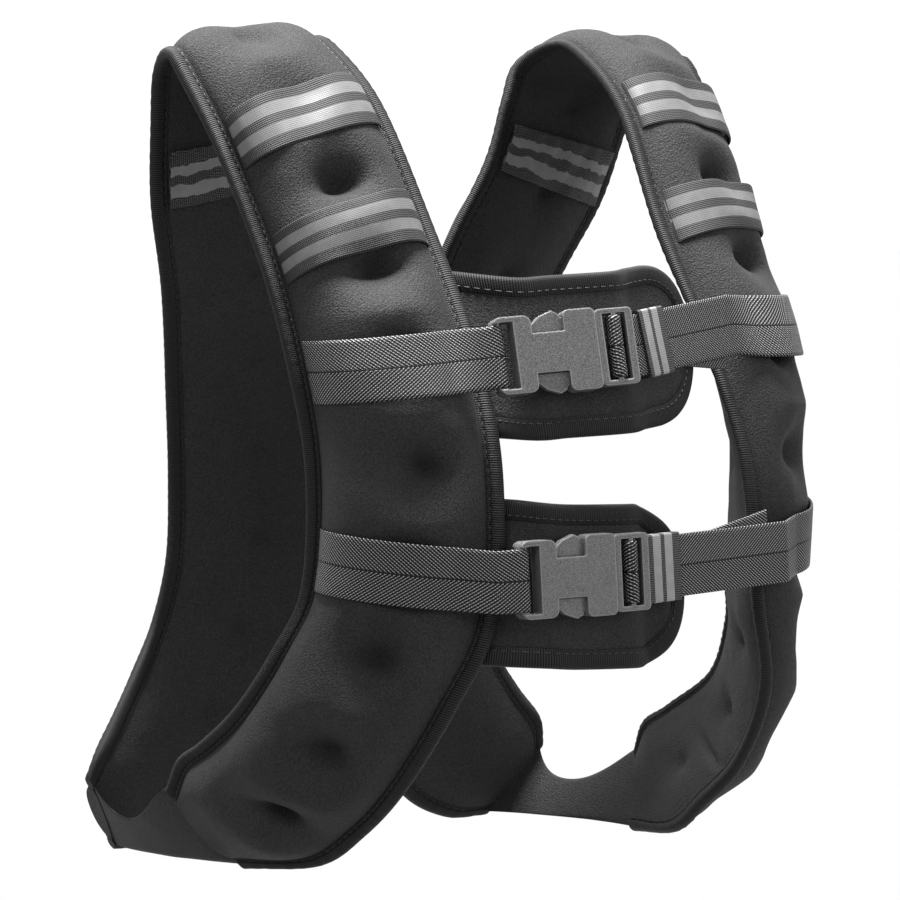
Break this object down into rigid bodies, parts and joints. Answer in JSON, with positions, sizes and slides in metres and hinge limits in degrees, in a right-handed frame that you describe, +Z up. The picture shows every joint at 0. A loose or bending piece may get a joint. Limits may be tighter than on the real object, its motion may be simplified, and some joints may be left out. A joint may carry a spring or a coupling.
{
  "type": "weighted vest",
  "caption": "Padded neoprene weight vest of two panels over the shoulders, joined at back and sides, with webbing straps, side-release buckles and chest pads in front.",
  "frame": {"origin": "midway between the two shoulder ridges, on the level of their undersides, where the vest sits on the wearer", "axes": "+Z up, +X to the wearer's left, -Y to the wearer's front"},
  "size_m": [0.3508, 0.3049, 0.4296],
  "materials": {
    "neoprene": "fine-grained matt neoprene",
    "binding": "ribbed elastic binding",
    "webbing": "herringbone webbing",
    "tape": "finely ribbed elastic tape",
    "reflective": "retroreflective stripe",
    "buckle": "finely grained moulded plastic"
  },
  "bodies": {
    "root": {"weight_panel_left": "neoprene", "weight_panel_right": "neoprene", "inner_binding_left": "binding", "inner_binding_right": "binding", "outer_binding_left": "binding", "outer_binding_right": "binding", "side_strip_left": "neoprene", "side_strip_right": "neoprene", "back_patch": "neoprene", "front_tape_top_right": "tape", "front_tape_low_right": "tape", "front_tape_top_left": "tape", "front_tape_low_left": "tape", "back_tape_right": "tape", "back_tape_left": "tape", "buckle_socket_upper": "buckle", "buckle_socket_lower": "buckle", "buckle_prongs_upper": "buckle", "buckle_prongs_lower": "buckle", "sewn_web_upper": "webbing", "sewn_web_lower": "webbing", "adjustable_web_upper": "webbing", "adjustable_web_lower": "webbing", "keeper_upper": "tape", "keeper_lower": "tape", "chest_pad_upper": "neoprene", "chest_pad_lower": "neoprene", "pad_rim_upper": "binding", "pad_rim_lower": "binding"}
  },
  "joints": []
}
